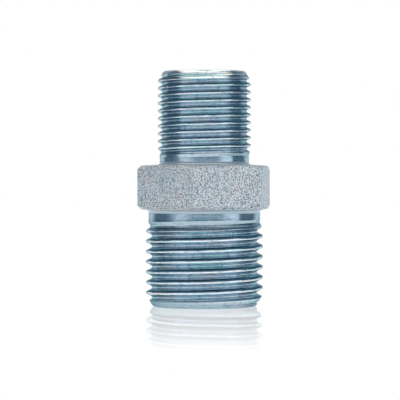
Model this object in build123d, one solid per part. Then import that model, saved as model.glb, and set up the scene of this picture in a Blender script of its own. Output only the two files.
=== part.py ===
from build123d import *
from math import ceil, radians, tan
import os

# Reducing hex nipple: a short pipe connector with a male parallel pipe thread on each end
# and a hexagonal collar between them for the wrench. The real one is a single piece of
# zinc-plated steel, so its three regions meet face to face and never move.
# Millimetres. The origin is the centre of the large end's face, and +Z runs up the axis.

# Lengths along the axis
large_end_length = 17.0
hex_thickness = 8.0
small_end_length = 16.5

# Hexagonal collar
hex_across_flats = 22.0
hex_chamfer_radius = 11.3  # circle on each hexagonal face where its chamfer starts
hex_chamfer_angle = 25.0  # measured from the hexagonal faces
root_fillet = 0.4  # where each shank runs into the hexagon
stub_length = 0.5  # how much of each shank belongs to the collar's region

# Small end: G 3/8 thread, 19 turns per inch
small_pitch = 25.4 / 19
small_major_radius = 8.25
small_minor_radius = 7.475
small_shank_radius = 7.9
small_shank_length = 1.3  # plain shank next to the hexagon
small_runout_length = 2.1  # over which the thread rises out of the shank
small_rim_radius = 7.25  # where the chamfer reaches the end face
small_chamfer_length = 1.7
small_first_crest = 0.94  # from the end face to the first crest, on the +X side

# Large end: G 1/2 thread, 14 turns per inch
large_pitch = 25.4 / 14
large_major_radius = 10.375
large_minor_radius = 9.315
large_shank_radius = 9.875
large_shank_length = 1.6
large_runout_length = 2.6
large_rim_radius = 9.175
large_chamfer_length = 2.0
large_first_crest = 1.61

# Both threads
flank_angle = 27.5  # half of the 55 degree thread form
rim_round = 0.3  # outer edge of each end face
overlap = 0.1  # how far shapes that are joined reach into each other

# Passage: a drilled bore from each end, meeting inside the collar
small_bore_radius = 4.75
large_bore_radius = 6.25
large_bore_depth = 21.0  # to the end of the full diameter, from the large end's face
drill_half_angle = 59.0

# Coned seats in the two mouths, 60 degrees included
seat_half_angle = 30.0
small_mouth_radius = 6.2
large_mouth_radius = 8.0

# Heights that follow from the lengths
hex_bottom = large_end_length
hex_top = hex_bottom + hex_thickness
total_length = hex_top + small_end_length
large_split = hex_bottom - stub_length
small_split = hex_top + stub_length


def turned(*points):
    """A solid of revolution about Z, from its half section as (radius, height) points."""
    outline = Polyline(*[(radius, 0, height) for radius, height in points], close=True)
    return revolve(make_face(outline), axis=Axis.Z)


def thread_turns(pitch, major_radius, minor_radius, top_crest, bottom):
    """Single turns of the right-hand thread ridge, end to end from above top_crest down to bottom."""
    middle_radius = (major_radius + minor_radius) / 2
    root = minor_radius - overlap
    tip = major_radius + overlap

    def half_width(radius):
        return pitch / 4 + (middle_radius - radius) * tan(radians(flank_angle))

    corners = [
        (root, 0, -half_width(root)),
        (tip, 0, -half_width(tip)),
        (tip, 0, half_width(tip)),
        (root, 0, half_width(root)),
    ]
    section = make_face(Polyline(*corners, close=True))
    turn = sweep(section, path=Helix(pitch, pitch, middle_radius), is_frenet=True)
    count = ceil((top_crest - bottom) / pitch) + 1
    return [Pos(0, 0, top_crest - index * pitch) * turn for index in range(count)]


def threaded_end(length, pitch, major_radius, minor_radius, shank_radius, shank_length,
                 runout_length, rim_radius, chamfer_length, first_crest):
    """One threaded end, standing on Z = 0 with its chamfered mouth upwards and no bore."""
    shank_top = shank_length - stub_length
    thread_start = shank_top + runout_length

    # The crests rise out of the shank on one cone while the grooves sink into it on another.
    crest_slope = (major_radius - shank_radius) / runout_length
    groove_slope = (shank_radius - minor_radius) / runout_length
    crest_foot = shank_top - overlap / crest_slope
    groove_foot = thread_start + overlap / groove_slope

    envelope = turned(
        (0, crest_foot),
        (shank_radius - overlap, crest_foot),
        (major_radius, thread_start),
        (major_radius, length - chamfer_length),
        (rim_radius, length),
        (0, length),
    )
    envelope = fillet(envelope.edges().filter_by(GeomType.CIRCLE).sort_by(Axis.Z)[-1], rim_round)
    shank = turned(
        (0, 0),
        (shank_radius, 0),
        (shank_radius, shank_top),
        (minor_radius - overlap, groove_foot),
        (0, groove_foot),
    )
    core = Pos(0, 0, crest_foot - pitch) * Cylinder(
        minor_radius, length + 3 * pitch, align=(Align.CENTER, Align.CENTER, Align.MIN)
    )
    turns = thread_turns(pitch, major_radius, minor_radius, length - first_crest, crest_foot)
    return ((core + turns) & envelope) + shank


def hexagon_with_shanks():
    """The chamfered hexagon, flats towards +Y and -Y, with a filleted stub of shank on each face."""
    corner_drop = (hex_across_flats - hex_chamfer_radius) * tan(radians(hex_chamfer_angle))
    chamfers = turned(
        (0, hex_bottom),
        (hex_chamfer_radius, hex_bottom),
        (hex_across_flats, hex_bottom + corner_drop),
        (hex_across_flats, hex_top - corner_drop),
        (hex_chamfer_radius, hex_top),
        (0, hex_top),
    )
    prism = Pos(0, 0, hex_bottom) * extrude(
        RegularPolygon(hex_across_flats / 2, 6, major_radius=False), hex_thickness
    )
    stubs = turned(
        (0, large_split),
        (large_shank_radius, large_split),
        (large_shank_radius, hex_bottom + overlap),
        (small_shank_radius, hex_bottom + overlap),
        (small_shank_radius, small_split),
        (0, small_split),
    )
    body = (prism & chamfers) + stubs
    roots = [
        edge for edge in body.edges().filter_by(GeomType.CIRCLE)
        if (edge.center().Z, edge.radius) in ((hex_bottom, large_shank_radius), (hex_top, small_shank_radius))
    ]
    return fillet(roots, root_fillet)


def passage():
    """Everything the drills and the seat cutters take out, from mouth to mouth."""
    drill_point = (large_bore_radius - small_bore_radius) / tan(radians(drill_half_angle))
    small_seat = (small_mouth_radius - small_bore_radius) / tan(radians(seat_half_angle))
    large_seat = (large_mouth_radius - large_bore_radius) / tan(radians(seat_half_angle))
    return turned(
        (0, 0),
        (large_mouth_radius, 0),
        (large_bore_radius, large_seat),
        (large_bore_radius, large_bore_depth),
        (small_bore_radius, large_bore_depth + drill_point),
        (small_bore_radius, total_length - small_seat),
        (small_mouth_radius, total_length),
        (0, total_length),
    )


small_end = threaded_end(
    small_end_length - stub_length, small_pitch, small_major_radius, small_minor_radius,
    small_shank_radius, small_shank_length, small_runout_length, small_rim_radius,
    small_chamfer_length, small_first_crest,
)
large_end = threaded_end(
    large_end_length - stub_length, large_pitch, large_major_radius, large_minor_radius,
    large_shank_radius, large_shank_length, large_runout_length, large_rim_radius,
    large_chamfer_length, large_first_crest,
)
bore = passage()
nodes = {
    "large_threaded_end": Pos(0, 0, large_split) * Rot(180, 0, 0) * large_end - bore,
    "hex_collar": hexagon_with_shanks() - bore,
    "small_threaded_end": Pos(0, 0, small_split) * small_end - bore,
}

os.makedirs("parts", exist_ok=True)
for name, shape in nodes.items():
    export_step(shape, f"parts/{name}.step")
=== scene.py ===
"""Looks of a reducing hex nipple: rolled threads, a shot-blasted hexagon and blue-white zinc plate.

Lengths are in millimetres, except where a comment says metres; meshes are written in metres.
"""

import math

import bpy
import bmesh
import numpy as np
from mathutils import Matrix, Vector


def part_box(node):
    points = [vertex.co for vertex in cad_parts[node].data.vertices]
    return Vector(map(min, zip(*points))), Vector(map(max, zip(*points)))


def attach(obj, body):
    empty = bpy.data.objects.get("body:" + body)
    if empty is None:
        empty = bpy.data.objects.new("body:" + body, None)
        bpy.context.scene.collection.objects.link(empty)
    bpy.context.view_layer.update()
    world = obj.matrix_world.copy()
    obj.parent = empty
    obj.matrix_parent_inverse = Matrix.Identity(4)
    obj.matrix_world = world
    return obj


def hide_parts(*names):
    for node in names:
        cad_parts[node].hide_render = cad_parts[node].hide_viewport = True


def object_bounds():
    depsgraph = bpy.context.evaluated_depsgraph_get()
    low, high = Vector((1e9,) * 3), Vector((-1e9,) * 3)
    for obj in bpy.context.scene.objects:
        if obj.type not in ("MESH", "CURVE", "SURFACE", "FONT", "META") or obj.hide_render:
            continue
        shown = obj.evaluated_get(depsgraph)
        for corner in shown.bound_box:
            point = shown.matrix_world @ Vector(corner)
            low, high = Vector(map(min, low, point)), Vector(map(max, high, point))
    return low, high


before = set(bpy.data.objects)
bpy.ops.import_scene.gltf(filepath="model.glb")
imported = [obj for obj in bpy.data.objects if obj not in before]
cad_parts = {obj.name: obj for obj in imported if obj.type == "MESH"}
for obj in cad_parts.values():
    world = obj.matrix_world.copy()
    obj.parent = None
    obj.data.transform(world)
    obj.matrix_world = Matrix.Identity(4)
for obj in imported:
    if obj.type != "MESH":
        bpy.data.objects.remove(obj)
cad_low, cad_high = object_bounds()  # metres

MM = 0.001
FULL_TURN = 2 * math.pi
WHITE = (1.0, 1.0, 1.0)
MERGE_DISTANCE = 0.002  # points closer together than this become one

# The camera, and the side of the object that it looks at
VIEW_AZIMUTH = math.radians(-22.0)
CAMERA_DISTANCE = 380.0
CAMERA_HEIGHT = 24.06
PICTURE_WIDTH = 70.8  # what the picture's width takes in at the object's axis
AIM_HEIGHT = 18.75
AIM_LEFT = 0.77
SENSOR_WIDTH = 36.0
NEAREST_SEEN = 0.01  # metres
FARTHEST_SEEN = 10.0  # metres

# The lit floor that the object stands on, a disc
FLOOR_RADIUS = 110.0
FLOOR_SIDES = 96
FLOOR_GAP = 0.02  # keeps it just clear of the object
FLOOR_GLOW = 1.1
FLOOR_ROUGHNESS = 0.02
FLOOR_IOR = 1.5
FLOOR_POLISH = (  # how much of its mirroring is left, by metres from the middle
    (0.011, 0.76),
    (0.03, 0.69),
    (0.05, 0.56),
    (0.068, 0.45),
    (0.085, 0.27),
    (0.105, 0.0),
)

# Thread form
FLANK_ANGLE = math.radians(27.5)
SHARP_HEIGHT = 0.960491  # of the full triangle, in pitches
ROOT_ROUND = 0.137329  # radius in the root, in pitches
CREST_CROWN = 0.35  # radius across the crest, in pitches
CREST_CORNER = 0.03  # rounding between the crown and the flanks
RUNOUT_LEAD = 0.15  # the thread starts to show this far inside the shank

# Wear and roughness of the crests
CREST_WEAR = 0.006
CREST_WANDER = 0.008
CREST_RAGGEDNESS = 0.004
CREST_SEAM_DEPTH = 0.018  # of the line that rolling leaves along the crest
CREST_SEAM_HALF_WIDTH = 0.035
CREST_SEAM_STEADY = 0.55  # share of the seam's depth that is always there
CREST_SEAM_VARYING = 0.45
DENT_SIZES = (0.12, 0.35)
DENT_DEPTHS = (0.03, 0.09)

# Edges of a threaded end
CHAMFER_CORNER = 0.12  # rounding between the thread and the chamfer
RIM_ROUND_HEIGHT = 0.3
RIM_ROUND_DEPTH = 0.22
MOUTH_BREAK = ((0.10, 0.0), (0.03, 0.02), (-0.02, 0.09))  # outwards, and down from the face
SEAT_FOOT = ((0.03, 0.05), (0.0, -0.06))  # outwards, and up from the end of the seat

# Painted shade of the plate, given as a brightness. It isn't a feature of real plate: it stands in
# for dark reflections that the studio alone doesn't give, and it stays put when the object is
# turned.
PITCH_PAINTED_SHADE = (  # by place in the pitch, upwards from the crest
    (-0.50, 0.82),
    (-0.36, 0.84),
    (-0.27, 1.00),
    (0.02, 1.00),
    (0.07, 0.50),
    (0.10, 0.0),
    (0.22, 0.0),
    (0.29, 0.55),
    (0.38, 0.80),
    (0.50, 0.82),
)
PAINTED_SHADE_START = 0.3  # where the painted shade sets in, as a share of the run-out
RUNOUT_PAINTED_SHADE = 0.36  # painted shade: how much darker the foot of the run-out is
RUNOUT_PAINTED_SHADE_HEIGHT = 0.7  # above the end of the shank
RUNOUT_PAINTED_SHADE_WIDTH = 0.7
CHAMFER_SHADE_SPAN = (0.9, 0.3)  # where the chamfer's painted shade comes in, in its lengths from the face
UNDERSIDE_SHADE = 0.72  # painted shade: brightness under the collar
UNDERSIDE_SPAN = (0.35, 0.1)  # where that comes in on the wall, up from its lower edge

# Passage
SMALL_BORE_RADIUS = 4.75
LARGE_BORE_RADIUS = 6.25
LARGE_BORE_DEPTH = 21.0
DRILL_HALF_ANGLE = math.radians(59.0)
SEAT_HALF_ANGLE = math.radians(30.0)


def node_box(name):
    """A CAD node's lowest and highest corners in millimetres."""
    low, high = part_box(name)
    return np.array(low) / MM, np.array(high) / MM


small_low, small_high = node_box("small_threaded_end")
large_low, large_high = node_box("large_threaded_end")
collar_low, collar_high = node_box("hex_collar")

# Hexagon
FLATS = 6
HALF_FLAT_ANGLE = math.radians(30)
HEX_FLAT = collar_high[1]  # from the axis
HEX_CORNER = HEX_FLAT / math.cos(HALF_FLAT_ANGLE)
STUB = 0.5  # plain shank that belongs to the collar, at each end
HEX_HALF = (collar_high[2] - collar_low[2]) / 2 - STUB
HEX_MIDDLE = (collar_high[2] + collar_low[2]) / 2
HEX_CHAMFER_RADIUS = 11.3
HEX_CHAMFER_ANGLE = math.radians(25.0)
HEX_CHAMFER_BLEND = 0.1
HEX_EDGE = 0.16  # height over which the wall rounds into the chamfers
HEX_EDGE_PULL = 0.9  # how far it draws in there, as a share of that height
CORNER_SOFTNESS = 0.008
FACE_DOME = 0.17  # how far the two faces fall away towards the edge
ROOT_FILLET = 0.4
HEX_COLUMNS_PER_FLAT = 120
HEX_WALL_ROWS = 76
ROW_CROWDING = 1.04  # above 1, the wall's rows lie closer together towards its edges
FILLET_ROWS = 7
FACE_ROWS = (0.35, 0.7, 0.85, 0.95)  # shares of the way from the fillet to the wall

# Shot-blasted grain of the hexagon
GRAIN_SEED = 70
GRAIN_SIZE = 0.25
GRAIN_DEPTH = 0.055
GRAIN_WIDEST = 3.5  # size of its coarsest waves, in grains
GRAIN_LEVEL = 0.5  # mean depth of the dimples, as a share of the deepest
GRAIN_CONTRAST = 0.28
GRAIN_AT_CORNER = 0.25  # share of the grain's depth that is left at a corner
GRAIN_CORNER_FADE = 0.35  # distance over which it fades towards a corner
GRAIN_EDGE_FADE = 0.3  # and towards the wall's upper and lower edges
GRAIN_START = 0.1  # the faces are grained from this far outside the fillet

# Radii are from the axis. The shank and then the run-out start at the split plane; the chamfer
# and first_crest, the place of the crest nearest the mouth, are measured back from the face.
SMALL_END = {
    "length": small_high[2] - small_low[2],
    "pitch": 25.4 / 19,
    "major": small_high[0],
    "nominal_major": 8.331,
    "minor": 7.475,
    "shank": 7.9,
    "shank_length": 0.8,
    "runout": 2.1,
    "rim": 7.25,
    "chamfer": 1.7,
    "first_crest": 0.94,
    "mouth": 6.2,
    "bore": SMALL_BORE_RADIUS,
    "shank_shade": 0.80,
    "chamfer_shade": 1.0,
    "columns": 256,
    "dents": 26,
    "seed": 11,
}
LARGE_END = {
    "length": large_high[2] - large_low[2],
    "pitch": 25.4 / 14,
    "major": large_high[0],
    "nominal_major": 10.4775,
    "minor": 9.315,
    "shank": 9.875,
    "shank_length": 1.1,
    "runout": 2.6,
    "rim": 9.175,
    "chamfer": 2.0,
    "first_crest": 1.61,
    "mouth": 8.0,
    "bore": LARGE_BORE_RADIUS,
    "shank_shade": 0.74,
    "chamfer_shade": 0.36,
    "columns": 288,
    "dents": 34,
    "seed": 23,
}


# ---------------------------------------------------------------- mesh helpers


def smooth_min(a, b, width):
    """The smaller of two fields, rounded where they cross."""
    share = np.clip(0.5 + 0.5 * (b - a) / width, 0.0, 1.0)
    return b + (a - b) * share - width * share * (1.0 - share)


def smooth_max(a, b, width):
    """The larger of two fields, rounded where they cross."""
    return -smooth_min(-a, -b, width)


def smooth_step(value, start, end):
    """From 0 at the start to 1 at the end, level at both."""
    share = np.clip((value - start) / (end - start), 0.0, 1.0)
    return share * share * (3.0 - 2.0 * share)


def round_off(into):
    """How far a quarter circle has fallen, from 0 where it starts to 1 where it ends."""
    return 1.0 - np.sqrt(1.0 - into**2)


def around_axis(radius, angle, height):
    """Points from their distance to the axis, their angle and their height."""
    points = [radius * np.cos(angle), radius * np.sin(angle), height]
    return np.stack(np.broadcast_arrays(*points), axis=-1)


def quads_between(lower, upper):
    """Faces between two closed rings of vertex numbers."""
    return np.stack([lower, np.roll(lower, -1), np.roll(upper, -1), upper], axis=1)


def mesh_object(name, points, faces, attributes, normals=None):
    """A mesh in metres from points in millimetres; points that coincide become one.

    Where a normal is given it is the surface's own; a zero normal leaves it to the mesh.
    """
    mesh = bpy.data.meshes.new(name)
    mesh.from_pydata((np.asarray(points) * MM).tolist(), [], np.asarray(faces).tolist())
    for key, values in attributes.items():
        layer = mesh.attributes.new(key, "FLOAT", "POINT")
        layer.data.foreach_set("value", np.asarray(values, np.float32))
    if normals is not None:
        layer = mesh.attributes.new("own_normal", "FLOAT_VECTOR", "POINT")
        layer.data.foreach_set("vector", np.asarray(normals, np.float32).reshape(-1))
    work = bmesh.new()
    work.from_mesh(mesh)
    bmesh.ops.remove_doubles(work, verts=work.verts, dist=MERGE_DISTANCE * MM)
    bmesh.ops.recalc_face_normals(work, faces=work.faces)
    work.to_mesh(mesh)
    work.free()
    mesh.polygons.foreach_set("use_smooth", [True] * len(mesh.polygons))
    if normals is not None:
        layer = mesh.attributes["own_normal"]
        kept = np.zeros(len(mesh.vertices) * 3, np.float32)
        layer.data.foreach_get("vector", kept)
        mesh.attributes.remove(layer)
        mesh.normals_split_custom_set_from_vertices(kept.reshape(-1, 3).tolist())
    piece = bpy.data.objects.new(name, mesh)
    bpy.context.scene.collection.objects.link(piece)
    return piece


def gentle_field(seed, angle, height, waves, longest, most_turns):
    """A random field over the surface, periodic round the axis, about -1 to 1."""
    rng = np.random.default_rng(seed)
    total = np.zeros(np.broadcast(angle, height).shape)
    for _ in range(waves):
        turns = rng.integers(1, most_turns)
        rise = rng.uniform(-1.0, 1.0) * FULL_TURN / longest
        total += np.sin(turns * angle + rise * height + rng.uniform(0, FULL_TURN))
    return total / math.sqrt(waves)


# ---------------------------------------------------------------- threaded ends


def thread_profile(end, offset):
    """Radius of the rolled thread at an axial offset from the middle of a crest."""
    pitch = end["pitch"]
    sharp_crest = end["nominal_major"] + SHARP_HEIGHT * pitch / 6
    sharp_root = end["nominal_major"] - (SHARP_HEIGHT * 5 / 6) * pitch
    flank = sharp_crest - np.abs(offset) / math.tan(FLANK_ANGLE)
    from_root = np.abs(np.abs(offset) - pitch / 2)
    root_round = ROOT_ROUND * pitch
    root = sharp_root + SHARP_HEIGHT * pitch / 6 + root_round
    root = root - np.sqrt(np.clip(root_round**2 - from_root**2, 0.0, None))
    radius = np.where(from_root < root_round * math.cos(FLANK_ANGLE), root, flank)

    # The rolls don't fill the crest, which is left as a low crown.
    crown = end["major"] - offset**2 / (2 * CREST_CROWN * pitch)
    return smooth_min(radius, crown, CREST_CORNER)


def above_first_crest(end, angle, height):
    """Height above the crest nearest the mouth, which climbs one pitch in a turn."""
    return height - (end["length"] - end["first_crest"]) - end["pitch"] * angle / FULL_TURN


def dents(end, angle, height):
    """Small knocks on the crests, as depths in millimetres."""
    rng = np.random.default_rng(end["seed"] + 5)
    depth = np.zeros(angle.shape)
    for _ in range(end["dents"]):
        at_angle = rng.uniform(-math.pi, math.pi)
        at_height = rng.uniform(end["shank_length"], end["length"])
        size = rng.uniform(*DENT_SIZES)
        turn = (angle - at_angle + math.pi) % FULL_TURN - math.pi
        distance = (turn * end["major"]) ** 2 + (height - at_height) ** 2
        depth += rng.uniform(*DENT_DEPTHS) * np.exp(-distance / size**2)
    return depth


def crest_seam(end, angle, height, offset):
    """Depth of the line that rolling leaves along the middle of the crest."""
    varying = gentle_field(end["seed"] + 2, angle, height, waves=12, longest=3.0, most_turns=30)
    seam = np.exp(-((offset / CREST_SEAM_HALF_WIDTH) ** 2)) * CREST_SEAM_DEPTH
    return np.clip(seam * (CREST_SEAM_STEADY + CREST_SEAM_VARYING * varying), 0, None)


def end_radius(end, angle, height):
    """Outer radius of a threaded end at a height above its split plane."""
    pitch, seed, length = end["pitch"], end["seed"], end["length"]
    offset = above_first_crest(end, angle, height)
    offset = (offset + pitch / 2) % pitch - pitch / 2
    thread = thread_profile(end, offset)
    crest = np.clip((thread - end["minor"]) / (end["major"] - end["minor"]), 0, 1)
    wander = gentle_field(seed, angle, height, waves=9, longest=6.0, most_turns=9)
    ragged = gentle_field(seed + 1, angle, height, waves=24, longest=1.5, most_turns=90)
    worn = CREST_WEAR + CREST_WANDER * wander + CREST_RAGGEDNESS * ragged
    thread = thread - crest * worn - crest_seam(end, angle, height, offset)
    thread = thread - crest**2 * dents(end, angle, height)

    # The thread grows out of the shank, and is cut off by the chamfer and the rounded rim.
    start = end["shank_length"]
    threaded = smooth_step(height, start - RUNOUT_LEAD, start + end["runout"])
    radius = end["shank"] + (thread - end["shank"]) * threaded
    slope = (end["major"] - end["rim"]) / end["chamfer"]
    chamfer = end["rim"] + (length - height) * slope
    radius = smooth_min(radius, chamfer, CHAMFER_CORNER)
    into_rim = np.clip((height - (length - RIM_ROUND_HEIGHT)) / RIM_ROUND_HEIGHT, 0.0, 1.0)
    return radius - RIM_ROUND_DEPTH * round_off(into_rim)


def plate_shade(end, angle, height, upward):
    """Painted brightness of a threaded end, from 0 to 1.

    It is dark above every crest, a little dark in the roots and at the foot of the run-out, and
    the shank and the chamfer have a brightness of their own.
    """
    length, start = end["length"], end["shank_length"]
    pitches = above_first_crest(end, angle, height) / end["pitch"]
    place = ((pitches + 0.5) % 1 - 0.5) * upward
    # painted shade by place in the pitch: dark above each crest, a little in the roots
    shade = np.interp(place, [stop for stop, _ in PITCH_PAINTED_SHADE], [value for _, value in PITCH_PAINTED_SHADE])
    shaded_from = start + PAINTED_SHADE_START * end["runout"]
    threaded = smooth_step(height, shaded_from, start + end["runout"])
    # painted shade on the shank
    shade = end["shank_shade"] + (shade - end["shank_shade"]) * threaded
    # painted shade at the foot of the run-out
    from_runout = (height - start - RUNOUT_PAINTED_SHADE_HEIGHT) / RUNOUT_PAINTED_SHADE_WIDTH
    shade = shade * (1 - RUNOUT_PAINTED_SHADE * np.exp(-(from_runout**2)))
    # painted shade on the chamfer
    lower, upper = [length - share * end["chamfer"] for share in CHAMFER_SHADE_SPAN]
    return shade + (end["chamfer_shade"] - shade) * smooth_step(height, lower, upper)


def end_normals(end, angle, height, radius):
    """The outer surface's own normals, from how the radius changes round and along the end."""
    step = 1e-4
    round_slope = end_radius(end, angle + step, height) - end_radius(end, angle - step, height)
    round_slope = round_slope / (2 * step) / radius
    above = np.minimum(height + step, end["length"])
    below = np.maximum(height - step, 0.0)
    axial_slope = (end_radius(end, angle, above) - end_radius(end, angle, below)) / (above - below)
    cosine, sine = np.cos(angle), np.sin(angle)
    normals = np.stack(
        [cosine + round_slope * sine, sine - round_slope * cosine, -axial_slope], axis=2
    )
    normals /= np.linalg.norm(normals, axis=2, keepdims=True)
    tolerance = 1e-6
    rim = (height < tolerance) | (height > end["length"] - tolerance)
    normals[rim] = 0.0
    return normals


def pitch_offsets(pitch):
    """Where the rows lie within one pitch, measured from the crest and closest together on it."""
    crown = np.linspace(-0.085, 0.085, 7)
    corner = np.array([0.098, 0.108, 0.118, 0.13])
    flank = np.array([0.21, 0.30, 0.375])
    root = np.linspace(0.40, 0.60, 6)
    return np.concatenate([crown, corner, flank, root, 1 - flank[::-1], 1 - corner[::-1]]) * pitch


def outer_skin(end, angles):
    """Angles, heights and faces of a threaded end's outside.

    Rows follow the helix, so every row keeps its place on the thread form all the way round.
    """
    length, pitch = end["length"], end["pitch"]
    offsets = pitch_offsets(pitch)
    per_pitch = len(offsets)
    turns = math.ceil(length / pitch) + 3
    lowest = (length - end["first_crest"]) % pitch - 2 * pitch
    rows = (lowest + np.arange(turns)[:, None] * pitch + offsets[None, :]).reshape(-1)
    climb = rows[:, None] + pitch * angles[None, :] / FULL_TURN
    height = np.clip(climb, 0.0, length)
    angle = np.broadcast_to(angles[None, :], height.shape)
    numbers = np.arange(height.size).reshape(height.shape)
    corners = [numbers[:-1, :-1], numbers[:-1, 1:], numbers[1:, 1:], numbers[1:, :-1]]
    faces = np.stack(corners, axis=2).reshape(-1, 4)

    # After a full turn a row meets the one a pitch above it.
    last_low, last_high = numbers[: -per_pitch - 1, -1], numbers[1:-per_pitch, -1]
    first_low, first_high = numbers[per_pitch:-1, 0], numbers[per_pitch + 1 :, 0]
    seam = np.stack([last_low, first_low, first_high, last_high], axis=1)
    return angle, height, [faces, seam]


def inner_section(end):
    """Radii and heights from the rim over the end face, down the coned seat and the bore."""
    length, mouth, bore = end["length"], end["mouth"], end["bore"]
    rim, foot = [float(end_radius(end, np.zeros(1), np.full(1, at))[0]) for at in (length, 0.0)]
    seat = (mouth - bore) / math.tan(SEAT_HALF_ANGLE)
    section = [(rim, length)]
    section += [(mouth + (rim - mouth) * share, length) for share in (0.8, 0.5, 0.25)]
    section += [(mouth + out, length - down) for out, down in MOUTH_BREAK]
    section += [
        (bore + (mouth - bore) * share, length - seat * (1 - share)) for share in (0.75, 0.5, 0.25)
    ]
    section += [(bore + out, length - seat + up) for out, up in SEAT_FOOT]
    section += [(bore, (length - seat) * share) for share in (0.7, 0.4, 0.1, 0.0)]
    section += [((bore + foot) / 2, 0.0), (foot, 0.0)]
    return section


def threaded_end(end, upward):
    """One threaded end standing on its split plane, its mouth upwards.

    Upward is 1 where the end is used this way up and -1 where it is turned over.
    """
    columns = end["columns"]
    angles = np.arange(columns) * FULL_TURN / columns
    angle, height, faces = outer_skin(end, angles)
    radius = end_radius(end, angle, height)
    points = [around_axis(radius, angle, height).reshape(-1, 3)]
    normals = [end_normals(end, angle, height, radius).reshape(-1, 3)]
    shade = [plate_shade(end, angle, height, upward).reshape(-1)]
    rings = []
    for ring, (ring_radius, ring_height) in enumerate(inner_section(end)):
        points.append(around_axis(ring_radius, angles, ring_height))
        normals.append(np.zeros((columns, 3)))
        shade.append(np.ones(columns))
        rings.append(height.size + ring * columns + np.arange(columns))
    for lower, upper in zip(rings[:-1], rings[1:]):
        faces.append(quads_between(lower, upper))
    return [np.concatenate(part) for part in (points, normals, faces, shade)]


def place_small_end():
    points, normals, faces, shade = threaded_end(SMALL_END, 1)
    points = points + np.array([0.0, 0.0, small_low[2]])
    piece = mesh_object("small_end", points, faces, {"shade": shade}, normals)
    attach(piece, "root")
    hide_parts("small_threaded_end")
    return piece


def place_large_end():
    """Turned over about X, so its mouth is at the bottom; the thread stays right-hand."""
    points, normals, faces, shade = threaded_end(LARGE_END, -1)
    turned_over = np.array([1.0, -1.0, -1.0])
    points = points * turned_over + np.array([0.0, 0.0, large_high[2]])
    piece = mesh_object("large_end", points, faces, {"shade": shade}, normals * turned_over)
    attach(piece, "root")
    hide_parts("large_threaded_end")
    return piece


# ---------------------------------------------------------------- hexagonal collar


def collar_outline():
    """Round the collar: each column's angle, its wall's radius and its way to the next corner."""
    # Columns are evenly spaced along each flat, with the corners between them.
    across = (np.arange(HEX_COLUMNS_PER_FLAT) + 0.5) / HEX_COLUMNS_PER_FLAT * 2 - 1
    across = across * HEX_CORNER / 2
    local = np.arctan2(across, HEX_FLAT)
    middles = [HALF_FLAT_ANGLE * (1 + 2 * flat) for flat in range(FLATS)]
    angles = np.concatenate([local + middle for middle in middles])
    planes = np.stack([np.cos(angles - middle) for middle in middles])
    blended = np.log(np.exp(planes / CORNER_SOFTNESS).sum(axis=0)) * CORNER_SOFTNESS
    return angles, HEX_FLAT / blended, np.tile(HEX_CORNER / 2 - np.abs(across), FLATS)


def chamfer_fall(radius):
    """How far the chamfer has fallen below the face at a radius."""
    beyond = smooth_max(radius - HEX_CHAMFER_RADIUS, np.zeros(radius.shape), HEX_CHAMFER_BLEND)
    return beyond * math.tan(HEX_CHAMFER_ANGLE)


def blasted_grain(seed):
    """One flat's dimples, as heights from 0, the original surface, down to -1."""
    rng = np.random.default_rng(seed)
    spacing = HEX_CORNER / HEX_COLUMNS_PER_FLAT
    field = rng.standard_normal((HEX_WALL_ROWS, HEX_COLUMNS_PER_FLAT))
    frequency = np.hypot(
        np.fft.fftfreq(HEX_WALL_ROWS, spacing)[:, None],
        np.fft.rfftfreq(HEX_COLUMNS_PER_FLAT, spacing)[None, :],
    )
    fine = np.exp(-((frequency * GRAIN_SIZE) ** 2) / 2.0)
    coarse = np.exp(-((frequency * GRAIN_SIZE * GRAIN_WIDEST) ** 2) / 2.0)
    field = np.fft.irfft2(np.fft.rfft2(field) * (fine - coarse), s=field.shape)
    field /= field.std()
    return -np.clip(GRAIN_LEVEL + GRAIN_CONTRAST * field, 0.0, 1.0)


def collar_wall(wall, to_corner):
    """The flats, row by row upwards: radius, height and painted brightness."""
    wall_half = HEX_HALF - chamfer_fall(wall) - FACE_DOME
    sample = np.linspace(-1, 1, HEX_WALL_ROWS)
    sample = np.sign(sample) * (1 - (1 - np.abs(sample)) ** ROW_CROWDING)
    height = sample[:, None] * wall_half[None, :]
    into = np.clip((np.abs(height) - (wall_half - HEX_EDGE)) / HEX_EDGE, 0, 1)
    radius = wall[None, :] - HEX_EDGE * round_off(into) * HEX_EDGE_PULL

    # The grain fades to a part of its depth at the corners, and to nothing at the edges.
    grain = np.concatenate([blasted_grain(GRAIN_SEED + flat) for flat in range(FLATS)], axis=1)
    at_corners = np.clip(to_corner / GRAIN_CORNER_FADE, GRAIN_AT_CORNER, 1.0)
    at_edges = np.clip((wall_half - np.abs(height)) / GRAIN_EDGE_FADE, 0.0, 1.0)
    radius = radius + grain * GRAIN_DEPTH * (at_corners[None, :] * at_edges)

    # painted shade towards the wall's lower edge
    lower, upper = [wall_half - span for span in UNDERSIDE_SPAN]
    shade = 1 - (1 - UNDERSIDE_SHADE) * smooth_step(-height, lower, upper)
    return radius, height, shade


def collar_face(wall, shank):
    """One face, from the shank's stub over the fillet outwards: radius, height above the middle
    and where it is grained.
    """
    columns = len(wall)
    radius, height = [np.full(columns, shank)], [np.full(columns, HEX_HALF + STUB)]
    for turn in np.linspace(0, math.pi / 2, FILLET_ROWS):
        radius.append(np.full(columns, shank + ROOT_FILLET * (1 - math.cos(turn))))
        height.append(np.full(columns, HEX_HALF + ROOT_FILLET * (1 - math.sin(turn))))
    inner = shank + ROOT_FILLET
    for share in FACE_ROWS:
        ring = inner + (wall - HEX_EDGE * HEX_EDGE_PULL - inner) * share
        radius.append(ring)
        height.append(HEX_HALF - chamfer_fall(ring) - FACE_DOME * share)
    radius = np.array(radius)
    return radius, np.array(height), (radius > inner + GRAIN_START).astype(float)


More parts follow.
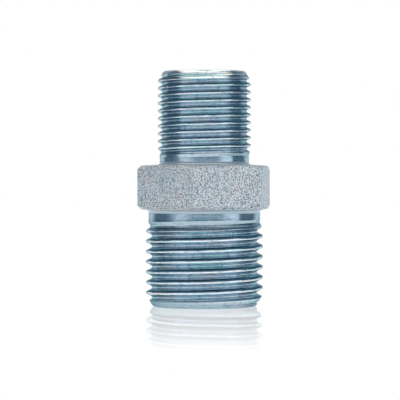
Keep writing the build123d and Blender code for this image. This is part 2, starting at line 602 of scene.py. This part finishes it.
def collar_inside(columns):
    """The two bores and the drill point between them, from the top down: radius and height."""
    drill_point = (LARGE_BORE_RADIUS - SMALL_BORE_RADIUS) / math.tan(DRILL_HALF_ANGLE)
    section = [
        (SMALL_BORE_RADIUS, HEX_HALF + STUB),
        (SMALL_BORE_RADIUS, LARGE_BORE_DEPTH + drill_point - HEX_MIDDLE),
        (LARGE_BORE_RADIUS, LARGE_BORE_DEPTH - HEX_MIDDLE),
        (LARGE_BORE_RADIUS, -HEX_HALF - STUB),
        (LARGE_END["shank"], -HEX_HALF - STUB),
    ]
    radius, height = np.array(section).T
    return [np.repeat(values[:, None], columns, axis=1) for values in (radius, height)]


def place_collar():
    angles, wall, to_corner = collar_outline()
    wall_radius, wall_height, wall_shade = collar_wall(wall, to_corner)
    top_radius, top_height, top_grain = collar_face(wall, SMALL_END["shank"])
    under_radius, under_height, under_grain = collar_face(wall, LARGE_END["shank"])
    in_radius, in_height = collar_inside(len(angles))

    # Up the outside from the lower stub to the upper one, and down the inside again
    radius = np.concatenate([under_radius, wall_radius, top_radius[::-1], in_radius])
    height = np.concatenate([-under_height, wall_height, top_height[::-1], in_height])
    grain = [under_grain, np.ones(wall_radius.shape), top_grain[::-1], np.zeros(in_radius.shape)]
    # painted shade over the whole underside
    under_shade = np.full(under_radius.shape, UNDERSIDE_SHADE)
    shade = [under_shade, wall_shade, np.ones(top_radius.shape), np.ones(in_radius.shape)]

    points = around_axis(radius, angles[None, :], height + HEX_MIDDLE)
    numbers = np.arange(radius.size).reshape(radius.shape)
    faces = np.concatenate([quads_between(a, b) for a, b in zip(numbers[:-1], numbers[1:])])
    attributes = {
        "grain": np.concatenate(grain).reshape(-1),
        "shade": np.concatenate(shade).reshape(-1),
    }
    piece = mesh_object("collar", points.reshape(-1, 3), faces, attributes)
    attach(piece, "root")
    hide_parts("hex_collar")
    return piece


# ---------------------------------------------------------------- materials

# Sockets of a Mix node that mixes colours
MIX_FACTOR, MIX_FIRST, MIX_SECOND, MIX_RESULT = 0, 6, 7, 2

# Colours are linear, and each stop is a noise or attribute value with its colour.
BRIGHT_TINTS = (
    (0.30, (0.72, 0.97, 0.92)),
    (0.40, (0.80, 0.96, 1.0)),
    (0.48, (0.92, 0.97, 0.99)),
    (0.55, (0.83, 0.90, 1.0)),
    (0.62, (0.99, 0.93, 0.97)),
    (0.70, (1.0, 1.0, 0.88)),
)
# Colours of the painted shade on the threaded ends, by their shade attribute
PAINTED_SHADE_COLOURS = (
    (0.0, (0.07, 0.15, 0.20)),
    (0.8, (0.72, 0.82, 0.87)),
    (1.0, (0.97, 1.0, 1.0)),
)
BLOTCH_COLOURS = ((0.37, (0.58, 0.66, 0.72)), (0.47, WHITE))
BRIGHT_SPECULAR = (0.42, 0.53, 0.57, 1.0)
BRIGHT_ROUGHNESS = ((0.3, 0.09), (0.7, 0.18))
TURNED_LINE_DEPTH = 0.006
SPECK_DEPTH = 0.004

BLASTED_METALLIC = 0.45
BLASTED_TINTS = (
    (0.32, (0.85, 0.95, 0.99)),
    (0.50, (0.93, 0.97, 1.0)),
    (0.68, (1.0, 0.98, 0.98)),
)
# grain tone, its dark end painted shade in the pits of the bump
GRAIN_AND_PIT_SHADE_COLOURS = (
    (0.39, (0.22, 0.27, 0.32)),
    (0.46, (0.80, 0.84, 0.87)),
    (0.51, WHITE),
)
SMOOTH_COLOUR = (0.72, 0.80, 0.85)  # of the fillets and stubs, which aren't grained
BLASTED_SPECULAR = (0.62, 0.76, 0.84, 1.0)
BLASTED_ROUGHNESS = ((0.0, 0.24), (1.0, 0.40))  # from smooth to grained
PEPPER_DEPTH = 0.03


def node(tree, kind, **settings):
    made = tree.nodes.new(kind)
    for key, value in settings.items():
        setattr(made, key, value)
    return made


def noise(tree, vector, detail, roughness, scale=1.0):
    made = node(tree, "ShaderNodeTexNoise")
    made.inputs["Scale"].default_value = scale
    made.inputs["Detail"].default_value = detail
    made.inputs["Roughness"].default_value = roughness
    tree.links.new(vector, made.inputs["Vector"])
    return made.outputs["Fac"]


def stretched(tree, x, y, z):
    """Object coordinates in millimetres, scaled along each axis."""
    coordinates = node(tree, "ShaderNodeTexCoord").outputs["Object"]
    mapping = node(tree, "ShaderNodeMapping")
    mapping.inputs["Scale"].default_value = (x / MM, y / MM, z / MM)
    tree.links.new(coordinates, mapping.inputs["Vector"])
    return mapping.outputs["Vector"]


def attribute(tree, name):
    return node(tree, "ShaderNodeAttribute", attribute_name=name).outputs["Fac"]


def ramp(tree, factor, stops):
    made = node(tree, "ShaderNodeValToRGB")
    band = made.color_ramp
    while len(band.elements) < len(stops):
        band.elements.new(0.5)
    for element, (position, colour) in zip(band.elements, stops):
        element.position = position
        element.color = (*colour, 1.0)
    tree.links.new(factor, made.inputs["Fac"])
    return made.outputs["Color"]


def grey_ramp(tree, factor, stops):
    return ramp(tree, factor, [(position, (value,) * 3) for position, value in stops])


def mixed(tree, factor, a, b, blend="MIX"):
    """Two colours mixed; the factor and each colour is a value or another node's output."""
    made = node(tree, "ShaderNodeMix", data_type="RGBA", blend_type=blend)
    if isinstance(factor, float):
        made.inputs[MIX_FACTOR].default_value = factor
    else:
        tree.links.new(factor, made.inputs[MIX_FACTOR])
    for socket, value in ((made.inputs[MIX_FIRST], a), (made.inputs[MIX_SECOND], b)):
        if isinstance(value, tuple):
            socket.default_value = (*value, 1.0)
        else:
            tree.links.new(value, socket)
    return made.outputs[MIX_RESULT]


def multiplied(tree, a, b):
    return mixed(tree, 1.0, a, b, "MULTIPLY")


def product(tree, a, b):
    """Two numbers multiplied; the second is a value or another node's output."""
    made = node(tree, "ShaderNodeMath", operation="MULTIPLY")
    tree.links.new(a, made.inputs[0])
    if isinstance(b, float):
        made.inputs[1].default_value = b
    else:
        tree.links.new(b, made.inputs[1])
    return made.outputs[0]


def bump(tree, height, depth, normal=None):
    made = node(tree, "ShaderNodeBump")
    made.inputs["Strength"].default_value = 1.0
    made.inputs["Distance"].default_value = depth * MM
    tree.links.new(height, made.inputs["Height"])
    if normal is not None:
        tree.links.new(normal, made.inputs["Normal"])
    return made.outputs["Normal"]


def new_material(name, metallic, specular):
    material = bpy.data.materials.new(name)
    material.use_nodes = True
    tree = material.node_tree
    shader = tree.nodes["Principled BSDF"]
    shader.inputs["Metallic"].default_value = metallic
    shader.inputs["Specular Tint"].default_value = specular
    return material, tree, shader


def bright_zinc():
    """Blue-white zinc on rolled and turned steel: streaks of interference colour round the part."""
    material, tree, shader = new_material("bright_zinc", 1.0, BRIGHT_SPECULAR)
    streaks = noise(tree, stretched(tree, 0.14, 0.14, 1.6), detail=3.0, roughness=0.6)
    tint = ramp(tree, streaks, BRIGHT_TINTS)
    # painted shade: dark above the crests, duller shanks, run-out feet and chamfer
    painted_shade = ramp(tree, attribute(tree, "shade"), PAINTED_SHADE_COLOURS)
    blotches = noise(tree, stretched(tree, 0.9, 0.9, 2.6), detail=5.0, roughness=0.75)
    blotched = ramp(tree, blotches, BLOTCH_COLOURS)
    colour = multiplied(tree, multiplied(tree, tint, painted_shade), blotched)
    tree.links.new(colour, shader.inputs["Base Color"])
    smudges = noise(tree, stretched(tree, 0.5, 0.5, 1.2), detail=4.0, roughness=0.6)
    tree.links.new(grey_ramp(tree, smudges, BRIGHT_ROUGHNESS), shader.inputs["Roughness"])
    lines = noise(tree, stretched(tree, 0.15, 0.15, 3.0), detail=2.0, roughness=0.5)
    specks = noise(tree, stretched(tree, 1.2, 1.2, 3.5), detail=2.0, roughness=0.5)
    turned = bump(tree, lines, TURNED_LINE_DEPTH)
    tree.links.new(bump(tree, specks, SPECK_DEPTH, turned), shader.inputs["Normal"])
    return material


def blasted_zinc():
    """The same plate over the shot-blasted forging: matt, with a fine grain, painted shade in its
    pits and under the collar.
    """
    material, tree, shader = new_material("blasted_zinc", BLASTED_METALLIC, BLASTED_SPECULAR)
    patches = noise(tree, stretched(tree, 0.22, 0.22, 0.3), detail=3.0, roughness=0.55)
    tint = ramp(tree, patches, BLASTED_TINTS)
    grain = attribute(tree, "grain")
    pits = noise(tree, stretched(tree, 1.0, 1.0, 1.0), detail=0.0, roughness=0.5, scale=5.4)
    grain_and_pit_shade = mixed(tree, grain, SMOOTH_COLOUR, ramp(tree, pits, GRAIN_AND_PIT_SHADE_COLOURS))
    # painted shade under the collar, from its shade attribute
    shade = grey_ramp(tree, attribute(tree, "shade"), [(0.0, 0.0), (1.0, 1.0)])
    colour = multiplied(tree, multiplied(tree, tint, grain_and_pit_shade), shade)
    tree.links.new(colour, shader.inputs["Base Color"])
    tree.links.new(grey_ramp(tree, grain, BLASTED_ROUGHNESS), shader.inputs["Roughness"])
    relief = product(tree, pits, grain)
    tree.links.new(bump(tree, relief, PEPPER_DEPTH), shader.inputs["Normal"])
    return material


# ---------------------------------------------------------------- studio

FLAG = (0.11, 0.17, 0.22)
ROOM = (0.25, 0.33, 0.40)
DIM_BOX = (0.60, 0.66, 0.72)
BRIGHT_BOX = (0.74, 0.82, 0.90)
BACKDROP = (1.0, 1.03, 1.06)
HIGH_BACKDROP = (0.55, 0.56, 0.58)
NIGHT = (0.09, 0.14, 0.19)
OVERHEAD = (1.45, 1.36, 1.22)

# What stands round the object, by degrees round from the camera, positive to its right
AT_EYE_LEVEL = (
    (-142, BACKDROP),
    (-120, FLAG),
    (-88, FLAG),
    (-70, ROOM),
    (-62, DIM_BOX),
    (-44, DIM_BOX),
    (-24, ROOM),
    (34, ROOM),
    (46, DIM_BOX),
    (58, BRIGHT_BOX),
    (73, BRIGHT_BOX),
    (80, FLAG),
    (120, FLAG),
    (142, BACKDROP),
)
HIGHER_UP = ((-150, HIGH_BACKDROP), (-122, NIGHT), (122, NIGHT), (150, HIGH_BACKDROP))
FLAGS_ON_FLOOR = (
    (-128, 0.0),
    (-112, 1.0),
    (-76, 1.0),
    (-62, 0.0),
    (62, 0.0),
    (76, 1.0),
    (112, 1.0),
    (128, 0.0),
)

# Where one level gives way to the next, by the sine of the elevation, or of the angle below level
BELOW_LEVEL = ((0.055, 0.0), (0.075, 1.0))
ABOVE_LEVEL = ((0.10, 0.0), (0.21, 1.0))
OVERHEAD_BAND = ((0.74, 0.0), (0.80, 1.0), (0.965, 1.0), (0.985, 0.0))
LIGHT_MAP_RESOLUTION = 512


def by_turn(stops):
    """Stops by degrees, as stops by share of a full turn from behind the object."""
    return [(degrees / 360 + 0.5, value) for degrees, value in stops]


def studio_world():
    """White behind the object, with dark flags at its sides and softboxes in front.

    The camera itself sees plain white instead of all this.
    """
    world = bpy.data.worlds.new("studio")
    bpy.context.scene.world = world
    world.use_nodes = True
    tree = world.node_tree
    background = tree.nodes["Background"]
    direction = node(tree, "ShaderNodeTexCoord").outputs["Generated"]

    def along(x, y, z):
        made = node(tree, "ShaderNodeVectorMath", operation="DOT_PRODUCT")
        tree.links.new(direction, made.inputs[0])
        made.inputs[1].default_value = (x, y, z)
        return made.outputs["Value"]

    to_right = along(math.cos(VIEW_AZIMUTH), math.sin(VIEW_AZIMUTH), 0)
    to_camera = along(math.sin(VIEW_AZIMUTH), -math.cos(VIEW_AZIMUTH), 0)
    turn = node(tree, "ShaderNodeMath", operation="ARCTAN2")
    tree.links.new(to_right, turn.inputs[0])
    tree.links.new(to_camera, turn.inputs[1])
    rescaled = node(tree, "ShaderNodeMapRange")
    rescaled.inputs["From Min"].default_value = -math.pi
    rescaled.inputs["From Max"].default_value = math.pi
    tree.links.new(turn.outputs[0], rescaled.inputs["Value"])
    share = rescaled.outputs["Result"]

    level = ramp(tree, share, by_turn(AT_EYE_LEVEL))
    raised = ramp(tree, share, by_turn(HIGHER_UP))

    # The flags stand on the sweep, so they hide its white from anything that looks down at them.
    flags = grey_ramp(tree, share, by_turn(FLAGS_ON_FLOOR))
    sweep = mixed(tree, flags, (FLOOR_GLOW,) * 3, FLAG)
    upward = along(0, 0, 1)
    above_level = grey_ramp(tree, upward, ABOVE_LEVEL)
    at_top = grey_ramp(tree, upward, OVERHEAD_BAND)
    below_level = grey_ramp(tree, product(tree, upward, -1.0), BELOW_LEVEL)
    around_level = mixed(tree, below_level, mixed(tree, above_level, level, raised), sweep)
    lit = mixed(tree, at_top, around_level, OVERHEAD)
    seen_by_camera = node(tree, "ShaderNodeLightPath").outputs["Is Camera Ray"]
    tree.links.new(mixed(tree, seen_by_camera, lit, WHITE), background.inputs["Color"])
    background.inputs["Strength"].default_value = 1.0
    world.cycles.sampling_method = "MANUAL"
    world.cycles.sample_map_resolution = LIGHT_MAP_RESOLUTION


def studio_floor():
    """A white floor that mirrors the object faintly close to it."""
    bpy.ops.mesh.primitive_circle_add(
        vertices=FLOOR_SIDES,
        radius=FLOOR_RADIUS * MM,
        fill_type="NGON",
        location=(0, 0, cad_low.z - FLOOR_GAP * MM),
    )
    floor = bpy.context.object
    floor.name = "floor"
    material = bpy.data.materials.new("floor")
    material.use_nodes = True
    tree = material.node_tree
    tree.nodes.clear()
    output = node(tree, "ShaderNodeOutputMaterial")
    light = node(tree, "ShaderNodeEmission")
    light.inputs["Color"].default_value = (*WHITE, 1.0)
    light.inputs["Strength"].default_value = FLOOR_GLOW
    gloss = node(tree, "ShaderNodeBsdfGlossy")
    gloss.inputs["Color"].default_value = (*WHITE, 1.0)
    gloss.inputs["Roughness"].default_value = FLOOR_ROUGHNESS
    from_middle = node(tree, "ShaderNodeVectorMath", operation="LENGTH")
    coordinates = node(tree, "ShaderNodeTexCoord").outputs["Object"]
    tree.links.new(coordinates, from_middle.inputs[0])
    polish = grey_ramp(tree, from_middle.outputs["Value"], FLOOR_POLISH)
    fresnel = node(tree, "ShaderNodeFresnel")
    fresnel.inputs["IOR"].default_value = FLOOR_IOR
    blend = node(tree, "ShaderNodeMixShader")
    tree.links.new(product(tree, polish, fresnel.outputs["Fac"]), blend.inputs[0])
    tree.links.new(light.outputs[0], blend.inputs[1])
    tree.links.new(gloss.outputs[0], blend.inputs[2])
    tree.links.new(blend.outputs[0], output.inputs["Surface"])
    floor.data.materials.append(material)


def camera():
    """A long lens at the height of the hexagon, aimed just left of the object's axis."""
    back = Vector((math.sin(VIEW_AZIMUTH), -math.cos(VIEW_AZIMUTH), 0.0))
    right = Vector((math.cos(VIEW_AZIMUTH), math.sin(VIEW_AZIMUTH), 0.0))
    data = bpy.data.cameras.new("camera")
    data.sensor_width = SENSOR_WIDTH
    data.lens = SENSOR_WIDTH * CAMERA_DISTANCE / PICTURE_WIDTH
    data.clip_start = NEAREST_SEEN
    data.clip_end = FARTHEST_SEEN
    made = bpy.data.objects.new("camera", data)
    bpy.context.scene.collection.objects.link(made)
    made.location = (back * CAMERA_DISTANCE + Vector((0, 0, CAMERA_HEIGHT))) * MM
    aim = (Vector((0, 0, AIM_HEIGHT)) - right * AIM_LEFT) * MM
    made.rotation_euler = (aim - made.location).to_track_quat("-Z", "Y").to_euler()
    bpy.context.scene.camera = made


# ---------------------------------------------------------------- assembly

camera()
studio_world()
studio_floor()
bpy.context.scene.view_settings.view_transform = "Standard"

plate = bright_zinc()
for piece in (place_small_end(), place_large_end()):
    piece.data.materials.append(plate)
place_collar().data.materials.append(blasted_zinc())
